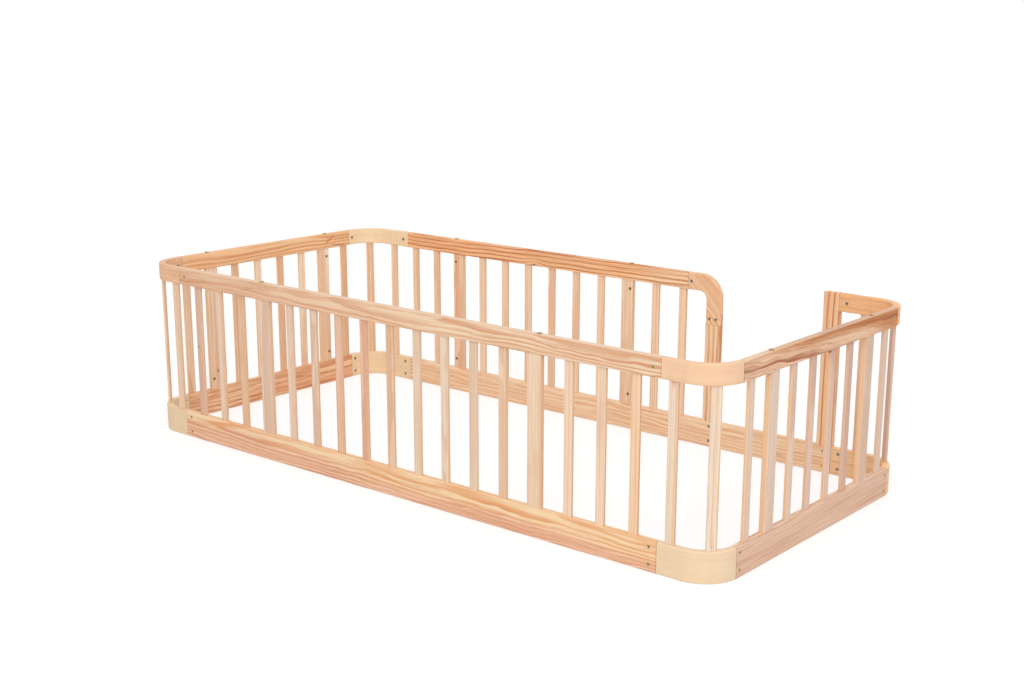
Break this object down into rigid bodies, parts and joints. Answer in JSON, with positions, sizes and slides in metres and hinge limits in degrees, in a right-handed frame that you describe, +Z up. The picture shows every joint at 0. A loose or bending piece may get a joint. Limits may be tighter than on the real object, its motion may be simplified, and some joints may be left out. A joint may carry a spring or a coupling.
{
  "type": "toddler floor bed",
  "caption": "Low slatted pine bed frame that stands on the floor around a mattress, with rounded corners and a doorway in one long side.",
  "frame": {"origin": "on the floor, at the middle of the frame's footprint", "axes": "+X along the long sides, with the doorway in the +X half; +Y from the closed long side to the side with the doorway; +Z up"},
  "size_m": [2.046, 0.946, 0.5206],
  "materials": {
    "pine_rail": "planed pine, unfinished",
    "pine_post": "planed pine, unfinished",
    "pine_slat": "planed pine, unfinished",
    "pale_block": "sanded pale wood, unfinished",
    "lap_steel": "zinc plated",
    "brace_steel": "dark zinc plated",
    "pin_steel": "bright"
  },
  "bodies": {
    "root": {"bottom_rail_front": "pine_rail", "bottom_rail_back": "pine_rail", "bottom_rail_left": "pine_rail", "bottom_rail_right": "pine_rail", "top_rail_front": "pine_rail", "top_rail_back": "pine_rail", "top_rail_left": "pine_rail", "top_rail_right": "pine_rail", "bottom_corner_front_left": "pale_block", "bottom_corner_front_right": "pale_block", "bottom_corner_back_left": "pale_block", "bottom_corner_back_right": "pale_block", "top_corner_front_left": "pale_block", "top_corner_front_right": "pale_block", "top_corner_back_left": "pale_block", "top_corner_back_right": "pale_block", "doorway_block": "pale_block", "doorway_post_left": "pine_post", "doorway_post_right": "pine_post", "brace_front_left": "pine_slat", "brace_front_right": "pine_slat", "brace_back_left": "pine_slat", "brace_back_right": "pine_slat", "brace_left_front": "pine_slat", "brace_left_back": "pine_slat", "brace_right_front": "pine_slat", "brace_right_back": "pine_slat", "slats_front_left": "pine_slat", "slats_front_middle": "pine_slat", "slats_front_right": "pine_slat", "slats_back_left": "pine_slat", "slats_back_middle": "pine_slat", "slats_back_right": "pine_slat", "slat_back_return": "pine_slat", "slats_left_middle": "pine_slat", "slat_left_front": "pine_slat", "slat_left_back": "pine_slat", "slats_right_middle": "pine_slat", "slat_right_front": "pine_slat", "slat_right_back": "pine_slat", "slat_corner_front_left": "pine_slat", "slat_corner_front_right": "pine_slat", "slat_corner_back_left": "pine_slat", "slat_corner_back_right": "pine_slat", "lap_bolts": "lap_steel", "sleeve_nuts": "lap_steel", "brace_bolts_top": "brace_steel", "brace_bolts_bottom": "brace_steel", "barrel_nuts": "brace_steel", "slat_pins": "pin_steel"}
  },
  "joints": []
}
